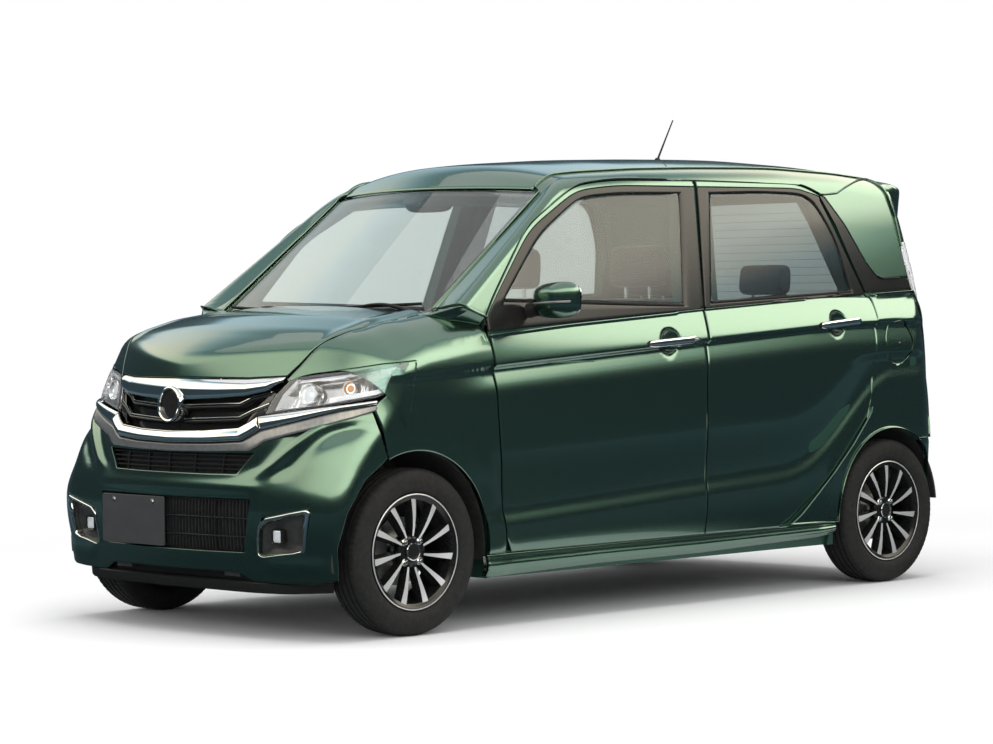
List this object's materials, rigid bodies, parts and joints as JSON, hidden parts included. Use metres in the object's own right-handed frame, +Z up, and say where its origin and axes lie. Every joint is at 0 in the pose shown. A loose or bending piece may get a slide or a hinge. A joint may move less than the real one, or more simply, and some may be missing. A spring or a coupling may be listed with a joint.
{
  "type": "kei car",
  "caption": "Five-door kei car body with opening doors, bonnet, tailgate and fuel lid, steered front wheels and a furnished cabin.",
  "frame": {"origin": "on the ground, in the middle of the overall length and width", "axes": "+X to the car's left, the front faces -Y, +Z up"},
  "size_m": [1.8418, 3.3949, 1.8195],
  "materials": {
    "paint": "metallic dark green, clear coated",
    "glass": "lightly tinted",
    "tyre": "black rubber",
    "alloy": "machined face over black",
    "lamp": "clear lens over chrome",
    "black_plastic": "fine grained",
    "steel": "black underbody paint",
    "cast_metal": "cast",
    "trim": "moulded, fine grain",
    "seat_fabric": "woven"
  },
  "bodies": {
    "body": {"body_side_left": "paint", "body_side_right": "paint", "roof_panel": "paint", "windscreen": "glass", "floor_pan": "steel", "rear_panel": "paint", "headlamps": "lamp", "upper_grille": "black_plastic", "fender_left": "paint", "fender_right": "paint", "front_bumper": "paint", "lower_grilles": "black_plastic", "rear_bumper": "paint", "tail_lamps": "lamp", "cowl": "black_plastic", "wheelhouse_liners": "black_plastic", "front_subframe": "steel", "rear_axle": "steel", "engine": "cast_metal", "fuel_tank": "black_plastic", "exhaust": "steel", "dashboard": "trim", "front_seats": "seat_fabric", "rear_seat": "seat_fabric", "sill_garnishes": "paint"},
    "bonnet": {"bonnet": "paint"},
    "tailgate": {"tailgate": "paint", "tailgate_glass": "glass"},
    "fuel_lid": {"fuel_lid": "paint"},
    "steering_wheel": {"steering_wheel": "trim"},
    "door_front_left": {"door_front_left": "paint", "glass_front_left": "glass", "mirror_left": "paint"},
    "door_front_right": {"door_front_right": "paint", "glass_front_right": "glass", "mirror_right": "paint"},
    "door_rear_left": {"door_rear_left": "paint", "glass_rear_left": "glass"},
    "door_rear_right": {"door_rear_right": "paint", "glass_rear_right": "glass"},
    "knuckle_left": {"knuckle_left": "steel"},
    "knuckle_right": {"knuckle_right": "steel"},
    "wheel_front_left": {"rim_front_left": "alloy", "tyre_front_left": "tyre"},
    "wheel_front_right": {"rim_front_right": "alloy", "tyre_front_right": "tyre"},
    "wheel_rear_left": {"rim_rear_left": "alloy", "tyre_rear_left": "tyre"},
    "wheel_rear_right": {"rim_rear_right": "alloy", "tyre_rear_right": "tyre"}
  },
  "joints": [
    {"name": "steer_left", "type": "hinge", "parent": "body", "child": "knuckle_left", "pos_m": [0.604, -1.2105, 0.19], "axis": [-0.1879, 0, 0.9822], "range_deg": [-35, 35]},
    {"name": "steer_right", "type": "hinge", "parent": "body", "child": "knuckle_right", "pos_m": [-0.604, -1.2105, 0.19], "axis": [0.1879, 0, 0.9822], "range_deg": [-35, 35]},
    {"name": "wheel_front_left_spin", "type": "hinge", "parent": "knuckle_left", "child": "wheel_front_left", "pos_m": [0.6525, -1.2105, 0.2785], "axis": [1, 0, 0], "continuous": true},
    {"name": "wheel_front_right_spin", "type": "hinge", "parent": "knuckle_right", "child": "wheel_front_right", "pos_m": [-0.6525, -1.2105, 0.2785], "axis": [1, 0, 0], "continuous": true},
    {"name": "wheel_rear_left_spin", "type": "hinge", "parent": "body", "child": "wheel_rear_left", "pos_m": [0.6525, 1.3095, 0.2785], "axis": [1, 0, 0], "continuous": true},
    {"name": "wheel_rear_right_spin", "type": "hinge", "parent": "body", "child": "wheel_rear_right", "pos_m": [-0.6525, 1.3095, 0.2785], "axis": [1, 0, 0], "continuous": true},
    {"name": "door_front_left_hinge", "type": "hinge", "parent": "body", "child": "door_front_left", "pos_m": [0.722, -0.806, 0.6], "axis": [0, 0, -1], "range_deg": [0, 70]},
    {"name": "door_front_right_hinge", "type": "hinge", "parent": "body", "child": "door_front_right", "pos_m": [-0.722, -0.806, 0.6], "axis": [0, 0, 1], "range_deg": [0, 70]},
    {"name": "door_rear_left_hinge", "type": "hinge", "parent": "body", "child": "door_rear_left", "pos_m": [0.722, 0.276, 0.6], "axis": [0, 0, -1], "range_deg": [0, 80]},
    {"name": "door_rear_right_hinge", "type": "hinge", "parent": "body", "child": "door_rear_right", "pos_m": [-0.722, 0.276, 0.6], "axis": [0, 0, 1], "range_deg": [0, 80]},
    {"name": "bonnet_hinge", "type": "hinge", "parent": "body", "child": "bonnet", "pos_m": [0, -1.016, 1.056], "axis": [-1, 0, 0], "range_deg": [0, 55]},
    {"name": "tailgate_hinge", "type": "hinge", "parent": "body", "child": "tailgate", "pos_m": [0, 1.474, 1.628], "axis": [1, 0, 0], "range_deg": [0, 80]},
    {"name": "fuel_lid_hinge", "type": "hinge", "parent": "body", "child": "fuel_lid", "pos_m": [0.7395, 1.2805, 0.935], "axis": [0, 0, -1], "range_deg": [0, 80]},
    {"name": "steering_wheel_turn", "type": "hinge", "parent": "body", "child": "steering_wheel", "pos_m": [-0.33, -0.44, 0.9], "axis": [0, 0.8645, 0.5026], "range_deg": [-540, 540]}
  ],
  "couplings": [
    {"joint": "steer_right", "follows": "steer_left", "ratio": 1},
    {"joint": "steering_wheel_turn", "follows": "steer_left", "ratio": -15}
  ]
}
